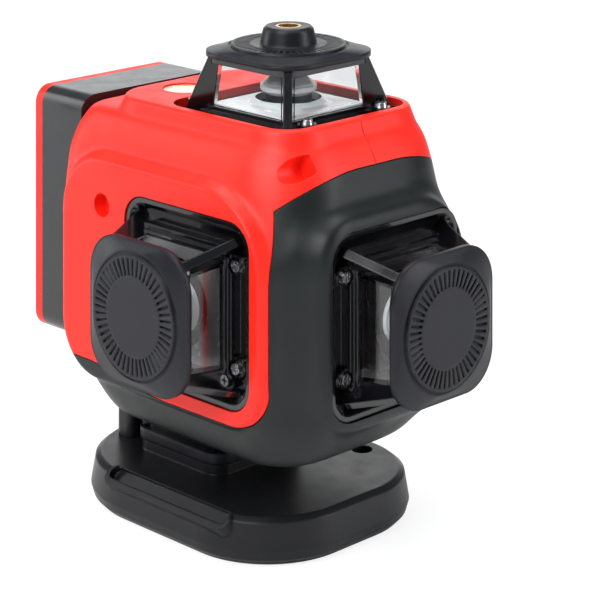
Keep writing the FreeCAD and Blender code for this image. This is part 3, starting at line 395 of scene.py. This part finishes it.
def build_materials():
    return {
        "red_shell": moulded("red_shell", (0.93, 0.020, 0.008), (0.88, 0.014, 0.006), 0.42,
                             0.32 * MM, 0.008 * MM, (0.95, 0.08, 0.05), gloss=0.32),
        "charcoal_shell": moulded("charcoal_shell", (0.0062, 0.0098, 0.0096),
                                  (0.0045, 0.0072, 0.0070), 0.40, 0.30 * MM, 0.010 * MM,
                                  (0.03, 0.032, 0.034), gloss=0.34),
        # The cap's pale edge colour is partly a painted highlight along its disc rim and partly
        # rubbed wear.
        "charcoal_cap": moulded("charcoal_cap", (0.0075, 0.0078, 0.0125), (0.0055, 0.0058, 0.0095),
                                0.34, 0.26 * MM, 0.006 * MM, (0.05, 0.052, 0.065),
                                edge=1.4 * MM, gloss=0.30),
        "charcoal_base": moulded("charcoal_base", (0.0085, 0.0088, 0.0105), (0.006, 0.0062, 0.0075),
                                 0.34, 0.30 * MM, 0.010 * MM, (0.03, 0.03, 0.034),
                                 edge=0.9 * MM, gloss=0.34),
        "knob_grey": moulded("knob_grey", (0.022, 0.023, 0.025), (0.015, 0.016, 0.018), 0.5,
                             0.4 * MM, 0.03 * MM, (0.10, 0.10, 0.105)),
        "nylon_white": moulded("nylon_white", (0.75, 0.74, 0.70), (0.66, 0.65, 0.60), 0.5,
                               0.3 * MM, 0.01 * MM, (0.8, 0.79, 0.76)),
        "chip_black": moulded("chip_black", (0.020, 0.020, 0.022), (0.012, 0.012, 0.013), 0.6,
                              0.2 * MM, 0.02 * MM, (0.05, 0.05, 0.05)),
        "window_black": polished("window_black", (0.004, 0.004, 0.0055), (0.002, 0.002, 0.003), 0.12,
                                 edge=0.6 * MM),
        "keypad_black": polished("keypad_black", (0.012, 0.012, 0.014), (0.006, 0.006, 0.007), 0.16),
        "vial_acrylic": polished("vial_acrylic", (0.78, 0.80, 0.66), (0.68, 0.71, 0.55), 0.12),
        "module_black": metal("module_black", (0.035, 0.035, 0.040), (0.020, 0.020, 0.024), 0.34),
        "brass": metal("brass", (0.86, 0.62, 0.30), (0.62, 0.38, 0.15), 0.20),
        "bright_steel": metal("bright_steel", (0.90, 0.90, 0.91), (0.62, 0.61, 0.60), 0.14),
        "cast_alloy": metal("cast_alloy", (0.66, 0.67, 0.69), (0.48, 0.49, 0.50), 0.38, MM),
        "magnet_plate": metal("magnet_plate", (0.80, 0.80, 0.82), (0.60, 0.60, 0.62), 0.18),
        "switch_metal": metal("switch_metal", (0.70, 0.70, 0.70), (0.52, 0.52, 0.52), 0.30),
        "contact_gold": metal("contact_gold", (0.95, 0.72, 0.28), (0.75, 0.52, 0.18), 0.18),
        "copper": metal("copper", (0.93, 0.48, 0.30), (0.62, 0.28, 0.15), 0.22),
        "foot_rubber": rubber("foot_rubber", (0.030, 0.030, 0.030), (0.012, 0.012, 0.012)),
        "key_rubber": rubber("key_rubber", (0.065, 0.067, 0.070), (0.040, 0.041, 0.043)),
        "clear_glass": clear("clear_glass", (0.90, 0.96, 0.95)),
        "vial_fluid": fluid("vial_fluid"),
        "board_green": circuit_board("board_green"),
        "cell_wrap": cell_wrap("cell_wrap"),
        "prism_glass": prism_glass("prism_glass"),
        # Painted light and shade: the same plate is pale in the top window, mid grey in the left one
        # and near black in the front one, after how much light each window catches.
        "top_plate": painted_light_plate("top_plate", (0.84, 0.86, 0.88), (0.74, 0.76, 0.78), 0.3),
        "left_plate": painted_light_plate("left_plate", (0.17, 0.17, 0.175), (0.11, 0.11, 0.115), 0.3),
        "front_plate": painted_light_plate("front_plate", (0.012, 0.009, 0.010), (0.006, 0.004, 0.005), 0.2),
        "screw_steel": screw_steel("screw_steel"),
        "tray_gloss": moulded("tray_gloss", (0.018, 0.019, 0.020), (0.012, 0.013, 0.014),
                              0.22, 0.30 * MM, 0.006 * MM, (0.05, 0.05, 0.05), gloss=0.5),
        "milky": milky("milky"),
    }


MATERIALS = build_materials()
SPECIAL_FINISHES = {"cone_prisms": "prism_glass", "cone_holders": "milky",
                    "window_screws": "screw_steel", "battery_tray": "tray_gloss"}


def dress_cad():
    """Gives every carried-over CAD node the material of its slot, or its own finish."""
    for row in frame["record"]["subparts"]:
        node = NODES[row["node"]]
        node.data.materials.clear()
        finish = SPECIAL_FINISHES.get(row["node"], row["material_slot"])
        node.data.materials.append(MATERIALS[finish])


# ---- mesh helpers ------------------------------------------------------------------
def rounded_ring(x0, x1, y0, y1, radii, steps=8):
    """Points round a rectangle, in mm; radii start at the (x1, y1) corner, anticlockwise."""
    if not isinstance(radii, tuple):
        radii = (radii,) * 4
    corners = ((x1, y1, 0.0), (x0, y1, 90.0), (x0, y0, 180.0), (x1, y0, 270.0))
    points = []
    for (cx, cy, start), radius in zip(corners, radii):
        mx = cx - radius if cx == x1 else cx + radius
        my = cy - radius if cy == y1 else cy + radius
        for step in range(steps + 1):
            angle = math.radians(start + 90.0 * step / steps)
            points.append((mx + radius * math.cos(angle), my + radius * math.sin(angle)))
    return points


def oval_ring(half_x, half_y, steps=ROUND_STEPS):
    """Points round an oval at the origin."""
    angles = [2.0 * math.pi * step / steps for step in range(steps)]
    return [(half_x * math.cos(angle), half_y * math.sin(angle)) for angle in angles]


def loft(form, levels, place=None):
    """Closed solid through levels of (height in mm, points in mm), set down by `place`."""
    place = place or Matrix.Identity(4)
    rings = []
    for height, points in levels:
        rings.append([form.verts.new(place @ Vector((x * MM, y * MM, height * MM)))
                      for x, y in points])
    form.faces.new(rings[0][::-1])
    form.faces.new(rings[-1])
    for low, high in zip(rings, rings[1:]):
        for i in range(len(low)):
            j = (i + 1) % len(low)
            form.faces.new((low[i], low[j], high[j], high[i]))


def tube(form, radius, start, end):
    """Closed round bar between two points given in mm."""
    start, end = Vector(start) * MM, Vector(end) * MM
    turn = (end - start).to_track_quat("Z", "Y").to_matrix().to_4x4()
    length = (end - start).length / MM
    ring = oval_ring(radius, radius, TUBE_STEPS)
    loft(form, [(0.0, ring), (length, ring)], Matrix.Translation(start) @ turn)


def block(form, x0, x1, y0, y1, z0, z1):
    """Closed box between limits in mm."""
    corners = [(x0, y0), (x1, y0), (x1, y1), (x0, y1)]
    loft(form, [(z0, corners), (z1, corners)])


def new_object(name, form):
    """Object made from a finished bmesh, its faces turned outwards."""
    bmesh.ops.recalc_face_normals(form, faces=form.faces)
    mesh = bpy.data.meshes.new(name)
    form.to_mesh(mesh)
    form.free()
    made = bpy.data.objects.new(name, mesh)
    bpy.context.scene.collection.objects.link(made)
    return made


def settle(thing):
    """Turns an object's modifiers into its plain mesh."""
    bpy.context.view_layer.update()
    graph = bpy.context.evaluated_depsgraph_get()
    mesh = bpy.data.meshes.new_from_object(thing.evaluated_get(graph))
    thing.modifiers.clear()
    old = thing.data
    thing.data = mesh
    bpy.data.meshes.remove(old)
    return thing


def copy_of(thing, name):
    """A second object with its own copy of the mesh."""
    twin = bpy.data.objects.new(name, thing.data.copy())
    bpy.context.scene.collection.objects.link(twin)
    return twin


def carve(thing, cutter, operation="DIFFERENCE", overlapping=False):
    """Cuts, intersects or unites with the cutter, which is used up."""
    step = thing.modifiers.new("carve", "BOOLEAN")
    step.operation = operation
    step.solver = "EXACT"
    step.use_self = overlapping
    step.object = cutter
    settle(thing)
    bpy.data.objects.remove(cutter)
    return thing


def blend_pieces(thing, voxel, passes):
    """Unites overlapping solids into one skin and softens the creases between them."""
    remesh = thing.modifiers.new("unite", "REMESH")
    remesh.mode = "VOXEL"
    remesh.voxel_size = voxel * MM
    soften = thing.modifiers.new("soften", "SMOOTH")
    soften.factor = 0.5
    soften.iterations = passes
    return settle(thing)


# ---- housing -----------------------------------------------------------------------
def head_place(side):
    """Where a window head stands: its flange face at z = 0 and its cap towards +z."""
    if side == "top":
        return Matrix.Translation((0.0, 0.0, TOP_SEAT * MM))
    if side == "left":
        turn = Matrix.Rotation(math.radians(90), 4, "X")
        return Matrix.Translation((0.0, -LEFT_SEAT * MM, LEFT_AXIS_Z * MM)) @ turn
    if side == "front":
        turn = Matrix.Rotation(math.radians(90), 4, "Y") @ Matrix.Rotation(math.radians(90), 4, "Z")
        return Matrix.Translation((FRONT_SEAT * MM, 0.0, FRONT_AXIS_Z * MM)) @ turn
    turn = Matrix.Rotation(math.radians(180), 4, "X")
    return Matrix.Translation((BOTTOM_AXIS_X * MM, 0.0, BOTTOM_SEAT * MM)) @ turn


def square(half, radius):
    """Rounded square round the origin."""
    return rounded_ring(-half, half, -half, half, radius)


def housing_core():
    """Smooth main body: stacked rounded sections and the flared front bezel."""
    form = bmesh.new()
    levels = []
    for z, rear_shift, front_shift, side_shift, right, left, rear in CORE_LEVELS:
        half = CORE_HALF_WIDTH + side_shift
        levels.append((z, rounded_ring(CORE_X0 + rear_shift, CORE_X1 + front_shift, -half, half,
                                       (right, rear, rear, left))))
    loft(form, levels)
    levels = []
    for height, half, radius in BEZEL_LEVELS:
        radii = (radius, radius + 5.0, radius - 3.0, radius)
        levels.append((height, rounded_ring(-half, half, -half, half, radii)))
    turn = Matrix.Rotation(math.radians(90), 4, "Y")
    foot = Vector(((CORE_X1 - BEZEL_BACK) * MM, 0.0, FRONT_AXIS_Z * MM))
    loft(form, levels, Matrix.Translation(foot) @ turn)
    return blend_pieces(new_object("core", form), CORE_VOXEL, CORE_PASSES)


def add_plateau(form):
    """Raised flat on top, flaring down into the shoulders; as wide as it reaches forward."""
    front, foot = PLATEAU_FRONT, PLATEAU_FRONT + PLATEAU_FRONT_FLARE
    wide = rounded_ring(PLATEAU_REAR - PLATEAU_REAR_FLARE, foot, -foot, foot,
                        PLATEAU_FOOT_RADIUS)
    flat = rounded_ring(PLATEAU_REAR, front, -front, front, PLATEAU_RADIUS)
    loft(form, [(SHOULDER_TOP - PLATEAU_ROOT, wide), (PLATEAU_TOP + PLATEAU_EXTRA, flat)])


def add_side_face(form, side, x1, radii):
    """Raised face of the left (-1) or right (+1) side, flaring back into the core."""
    levels = []
    for out, grow in ((CORE_HALF_WIDTH - 2.4, SIDE_FLARE), (SIDE_FACE_Y - 0.4, 0.5),
                      (SIDE_FACE_Y, 0.0)):
        ring = rounded_ring(SIDE_X0 - grow, x1 + grow, SIDE_Z0 - grow, SIDE_Z1 + grow,
                            tuple(radius + grow for radius in radii))
        levels.append((out, ring))
    turn = Matrix.Rotation(math.radians(90), 4, "X")
    if side > 0:
        turn = Matrix.Scale(-1.0, 4, (0.0, 1.0, 0.0)) @ turn
    loft(form, levels, turn)


def housing_skin():
    """The core with the plateau and the raised side faces, creases kept fairly tight."""
    core = housing_core()
    form = bmesh.new()
    form.from_mesh(core.data)
    add_plateau(form)
    add_side_face(form, -1, SIDE_X1, SIDE_RADII_LEFT)
    add_side_face(form, 1, RIGHT_SIDE_X1, SIDE_RADII_RIGHT)
    bpy.data.objects.remove(core)
    return blend_pieces(new_object("skin", form), SKIN_VOXEL, SKIN_PASSES)


def add_window_opening(form, side, flange_half, throat_half):
    """Pocket for a head's flange, then a square throat into the hollow."""
    place = head_place(side)
    pocket = square(flange_half + POCKET_GAP, POCKET_RADIUS)
    throat = square(throat_half, THROAT_RADIUS)
    loft(form, [(-FLANGE_DEPTH, pocket), (POCKET_HEIGHT, pocket)], place)
    loft(form, [(-THROAT_DEPTH, throat), (THROAT_LAP - FLANGE_DEPTH, throat)], place)


def housing_openings():
    """Everything cut out of the skin: window pockets, recesses, ports and the hollow inside."""
    form = bmesh.new()
    for side in ("top", "left", "front"):
        add_window_opening(form, side, FLANGE_HALF, THROAT_HALF)
    add_window_opening(form, "bottom", BOTTOM_FLANGE_HALF, BOTTOM_THROAT_HALF)
    for x, z, floor in RECESSES:
        tube(form, RECESS_RADIUS, (x, LEFT_BORE_Y, z), (x, floor, z))
    tube(form, VIAL_RADIUS, (VIAL_X, VIAL_Y, PLATEAU_TOP - VIAL_DEPTH),
         (VIAL_X, VIAL_Y, PLATEAU_TOP + VIAL_DEPTH))
    for index in range(KEY_COUNT):
        x = KEY_X0 + KEY_PITCH * index
        tube(form, KEY_HOLE_RADIUS, (x, RIGHT_BORE_Y0, KEY_Z), (x, RIGHT_BORE_Y1, KEY_Z))
    tube(form, SHAFT_HOLE_RADIUS, (KNOB_X, RIGHT_BORE_Y0, KNOB_Z),
         (KNOB_X, RIGHT_BORE_Y1, KNOB_Z))
    block(form, CORE_X0 - PLUG_OUT, CORE_X0 + PLUG_IN, -PLUG_HALF, PLUG_HALF, PLUG_Z0, PLUG_Z1)
    loft(form, [(z, rounded_ring(x0, x1, -half, half, radius))
                for z, x0, x1, half, radius in HOLLOW_LEVELS])
    return new_object("openings", form)


def trim_profile(split_x, gap):
    """Side profile of the dark trim: below and ahead of an L with a rounded inner corner.
    Its rear end rises a little, and its upper end leans back."""
    x, z, radius = split_x - gap, TRIM_SPLIT_Z + gap, TRIM_RADIUS
    points = [(-FAR, z + TRIM_TAIL_END)]
    points += [(tail_x, z + rise) for tail_x, rise in TRIM_TAIL]
    for step in range(13):
        angle = math.radians(270.0 + 90.0 * step / 12)
        points.append((x - radius + radius * math.cos(angle),
                       z + radius + radius * math.sin(angle)))
    for step in range(9):
        share = step / 8
        points.append((x - TRIM_LEAN * share ** 2, TRIM_LEAN_Z + TRIM_LEAN_HEIGHT * share))
    return points + [(x - TRIM_LEAN, FAR), (FAR, FAR), (FAR, -FAR), (-FAR, -FAR)]


def trim_brow(gap):
    """Front outline of the trim's upper edge, level in the middle and falling at the sides."""
    top, foot = BROW_TOP + gap, BROW_FOOT + gap
    arc = []
    for step in range(15):
        angle = math.pi / 2 * step / 14
        arc.append((BROW_CROWN_Y + (BROW_EDGE_Y - BROW_CROWN_Y) * math.cos(angle),
                    foot + (top - foot) * math.sin(angle)))
    points = [(-FAR, -FAR), (FAR, -FAR), (FAR, foot)] + arc
    points += [(-across, height) for across, height in arc[::-1]]
    return points + [(-FAR, foot)]


def trim_solid(gap):
    """Solid that holds the trim, grown by the gap when it is cut from the red shells."""
    along_y = Matrix(((1, 0, 0, 0), (0, 0, -1, 0), (0, 1, 0, 0), (0, 0, 0, 1)))
    along_x = Matrix(((0, 0, 1, 0), (1, 0, 0, 0), (0, 1, 0, 0), (0, 0, 0, 1)))
    left = trim_profile(TRIM_SPLIT_X, gap)
    right = trim_profile(TRIM_SPLIT_RIGHT_X, gap)
    form = bmesh.new()
    loft(form, [(-gap, left), (ZONE_HALF_WIDTH, left)], along_y)
    zone = new_object("zone", form)
    form = bmesh.new()
    loft(form, [(-ZONE_HALF_WIDTH, right), (ZONE_OVERLAP, right)], along_y)
    carve(zone, new_object("right_zone", form), "UNION")
    form = bmesh.new()
    brow = trim_brow(gap)
    loft(form, [(-BROW_HALF_LENGTH, brow), (BROW_HALF_LENGTH, brow)], along_x)
    carve(zone, new_object("brow", form), "INTERSECT")
    rounding = zone.modifiers.new("rounding", "BEVEL")
    rounding.width = TRIM_ROUNDING * MM
    rounding.segments = 6
    rounding.limit_method = "ANGLE"
    rounding.angle_limit = math.radians(50)
    return settle(zone)


def half_space(y0, y1):
    """Block reaching beyond the object on every side but y."""
    form = bmesh.new()
    block(form, -BEYOND, BEYOND, y0, y1, -BEYOND, BEYOND)
    return new_object("half", form)


def build_housing():
    """Smooth visual housing in its three real shells, standing for the three CAD shells."""
    body = carve(housing_skin(), housing_openings(), overlapping=True)
    trim = carve(copy_of(body, "front_trim"), trim_solid(0.0), "INTERSECT")
    red = carve(body, trim_solid(SEAM))
    left = carve(copy_of(red, "red_left"), half_space(-BEYOND, -SEAM / 2), "INTERSECT")
    right = carve(red, half_space(SEAM / 2, BEYOND), "INTERSECT")
    right.name = "red_right"
    for shell, node, finish in ((left, "housing_left", "red_shell"),
                                (right, "housing_right", "red_shell"),
                                (trim, "front_trim_shell", "charcoal_shell")):
        shell.data.materials.clear()
        shell.data.materials.append(MATERIALS[finish])
        shell.data.shade_smooth()
        shell.data.set_sharp_from_angle(angle=math.radians(SHARP_EDGE))
        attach(shell, "housing")
        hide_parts(node)


# ---- glass boxes -------------------------------------------------------------------
def add_pane(form, turn):
    """One leaning, mitred pane of a glass box, in the head's own frame."""
    rings = []
    for z, half in ((STEP_HEIGHT, GLASS_LOW), (GLASS_TOP, GLASS_HIGH)):
        width = half - PANE_MARGIN
        ring = [(half, -width, z), (half, width, z),
                (half - PANE, width - PANE, z), (half - PANE, PANE - width, z)]
        rings.append([form.verts.new(turn @ (Vector(point) * MM)) for point in ring])
    form.faces.new(rings[0][::-1])
    form.faces.new(rings[1])
    for i in range(4):
        j = (i + 1) % 4
        form.faces.new((rings[0][i], rings[0][j], rings[1][j], rings[1][i]))


def add_plate(form, place, hole, edge):
    """Square plate under the panes with a round or oval opening for the cone."""
    outline = []
    for x, y in oval_ring(1.0, 1.0):
        reach = PLATE_HALF / max(abs(x), abs(y))
        outline.append((reach * x, reach * y))
    sections = [(0.0, outline), (PLATE_THICKNESS, outline)]
    for height, swell in edge:
        sections.append((height, oval_ring(hole[0] + swell, hole[1] + swell)))
    rows = []
    for height, points in sections:
        z = STEP_HEIGHT + height
        rows.append([form.verts.new(place @ (Vector((x, y, z)) * MM)) for x, y in points])
    for low, high in zip(rows, rows[1:] + rows[:1]):
        for i in range(ROUND_STEPS):
            j = (i + 1) % ROUND_STEPS
            form.faces.new((low[i], low[j], high[j], high[i]))


def build_glass_box(side):
    """Four panes and their plate, standing for a window's glass."""
    form = bmesh.new()
    place = head_place(side)
    for quarter in range(4):
        add_pane(form, place @ Matrix.Rotation(math.radians(90 * quarter), 4, "Z"))
    glass_faces = len(form.faces)
    add_plate(form, place, PLATE_HOLES[side], PLATE_EDGES[side])
    form.faces.ensure_lookup_table()
    for face in form.faces[glass_faces:]:
        face.material_index = 1
    thing = new_object(side + "_glass_box", form)
    thing.data.materials.append(MATERIALS["clear_glass"])
    thing.data.materials.append(MATERIALS[side + "_plate"])
    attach(thing, "housing")
    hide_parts(side + "_window_glass")


# ---- camera, light and floor -------------------------------------------------------
CAMERA_AT = Vector((0.5170, -0.5088, 0.2908))
CAMERA_TURN = math.radians(45.15)
LENS = 139.65
SHIFT_X, SHIFT_Y = -0.0016, -1.1936


def build_camera():
    """A level camera with a falling lens shift, so uprights stay parallel."""
    data = bpy.data.cameras.new("camera")
    camera = bpy.data.objects.new("camera", data)
    bpy.context.scene.collection.objects.link(camera)
    camera.location = CAMERA_AT
    camera.rotation_euler = (math.pi / 2, 0.0, CAMERA_TURN)
    data.sensor_width = 36.0
    data.lens = LENS
    data.clip_start, data.clip_end = 0.01, 20.0
    for channel, amount in (("shift_x", SHIFT_X), ("shift_y", SHIFT_Y)):
        shift_only_at_home(data, camera, channel, amount)
    bpy.context.scene.camera = camera


def shift_only_at_home(data, camera, channel, amount):
    """The lens shift belongs to the camera's own place; any other view has none."""
    driver = data.driver_add(channel).driver
    driver.type = "SCRIPTED"
    for letter in ("x", "y", "z"):
        variable = driver.variables.new()
        variable.name = letter
        variable.type = "TRANSFORMS"
        variable.targets[0].id = camera
        variable.targets[0].transform_type = "LOC_" + letter.upper()
        variable.targets[0].transform_space = "WORLD_SPACE"
    away = " + ".join(f"abs({letter} - {value:.4f})" for letter, value in zip("xyz", CAMERA_AT))
    driver.expression = f"{amount} if ({away}) < 0.001 else 0.0"


def softbox(name, place, aim, width, height, power):
    """Rectangular area light aimed at a point, unseen by the camera."""
    data = bpy.data.lights.new(name, "AREA")
    data.shape = "RECTANGLE"
    data.size, data.size_y = width, height
    data.energy = power
    light = bpy.data.objects.new(name, data)
    bpy.context.scene.collection.objects.link(light)
    light.location = place
    light.visible_camera = False
    light.rotation_euler = (Vector(aim) - Vector(place)).to_track_quat("-Z", "Y").to_euler()


def build_floor():
    """Pale floor that glows a little towards the camera, so it reads as white."""
    mesh = bpy.data.meshes.new("floor")
    form = bmesh.new()
    bmesh.ops.create_grid(form, x_segments=8, y_segments=8, size=6.0)
    form.to_mesh(mesh)
    form.free()
    floor = bpy.data.objects.new("floor", mesh)
    bpy.context.scene.collection.objects.link(floor)
    floor.location = (0.0, 0.0, -0.0004)
    paint = Shader("floor_paint")
    tone = paint.noise(0.4, 3.0)
    paint.colour(paint.mix(tone, (0.86, 0.86, 0.86), (0.90, 0.90, 0.90)))
    paint.set(Roughness=0.9)
    glow = paint.nodes.new("ShaderNodeEmission")
    glow.inputs["Strength"].default_value = 1.15
    rays = paint.nodes.new("ShaderNodeLightPath")
    seen = paint.ramp(rays.outputs["Is Camera Ray"], 0.0, 1.0, 0.0, 0.72)
    paint.swap_surface(seen, glow.outputs["Emission"])
    mesh.materials.append(paint.material)


def build_world():
    """White to the camera, a dimmer cool fill to everything else."""
    world = bpy.data.worlds.new("studio")
    bpy.context.scene.world = world
    world.use_nodes = True
    nodes, links = world.node_tree.nodes, world.node_tree.links
    seen = nodes.new("ShaderNodeBackground")
    seen.inputs["Color"].default_value = (1.0, 1.0, 1.0, 1.0)
    fill = nodes["Background"]
    fill.inputs["Color"].default_value = (0.9, 0.93, 1.0, 1.0)
    fill.inputs["Strength"].default_value = 0.22
    rays = nodes.new("ShaderNodeLightPath")
    mix = nodes.new("ShaderNodeMixShader")
    links.new(rays.outputs["Is Camera Ray"], mix.inputs[0])
    links.new(fill.outputs[0], mix.inputs[1])
    links.new(seen.outputs[0], mix.inputs[2])
    links.new(mix.outputs[0], nodes["World Output"].inputs["Surface"])


def build_lights():
    """Five soft lights round the object."""
    centre = (0.0, 0.0, 0.08)
    softbox("key", (0.10, -0.75, 0.75), centre, 0.6, 0.6, 9.0)
    softbox("top", (-0.15, 0.10, 1.0), centre, 0.7, 0.7, 6.5)
    softbox("rim", (0.75, 0.45, 0.45), centre, 0.3, 0.8, 4.0)
    softbox("side", (-0.85, -0.45, 0.35), centre, 0.3, 0.8, 3.0)
    softbox("back", (-0.95, 0.95, 0.42), centre, 1.3, 0.7, 3.4)


dress_cad()
build_housing()
for window in ("top", "left", "front"):
    build_glass_box(window)
build_camera()
build_floor()
build_world()
build_lights()
bpy.context.scene.view_settings.view_transform = "Standard"
